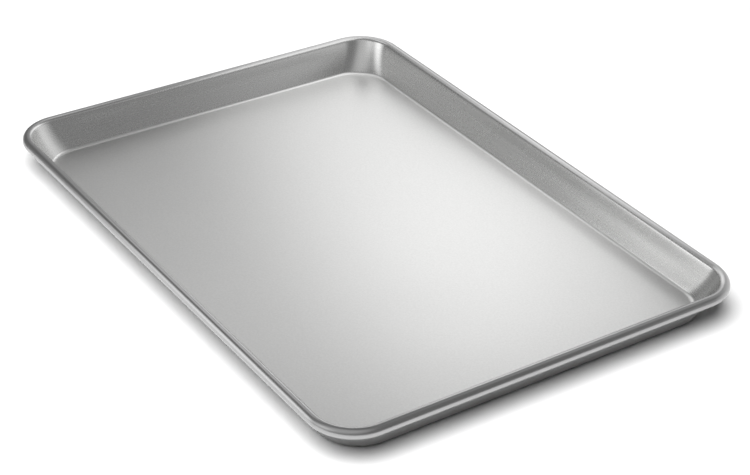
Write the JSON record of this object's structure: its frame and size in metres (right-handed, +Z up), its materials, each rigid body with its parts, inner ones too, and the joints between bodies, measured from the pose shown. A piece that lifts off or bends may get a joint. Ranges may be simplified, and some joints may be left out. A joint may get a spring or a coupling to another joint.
{
  "type": "sheet pan",
  "caption": "Shallow rectangular baking sheet drawn from satin aluminium, with flared walls, rounded corners and a rim rolled round a steel wire.",
  "frame": {"origin": "middle of the underside, on the surface that the pan stands on", "axes": "+X along the long side, +Y along the short side, +Z up out of the open top"},
  "size_m": [0.454, 0.327, 0.0266],
  "materials": {
    "drawn_aluminium": "satin",
    "galvanised_wire": "galvanised"
  },
  "bodies": {
    "root": {"pan_body": "drawn_aluminium", "rim_wire": "galvanised_wire"}
  },
  "joints": []
}
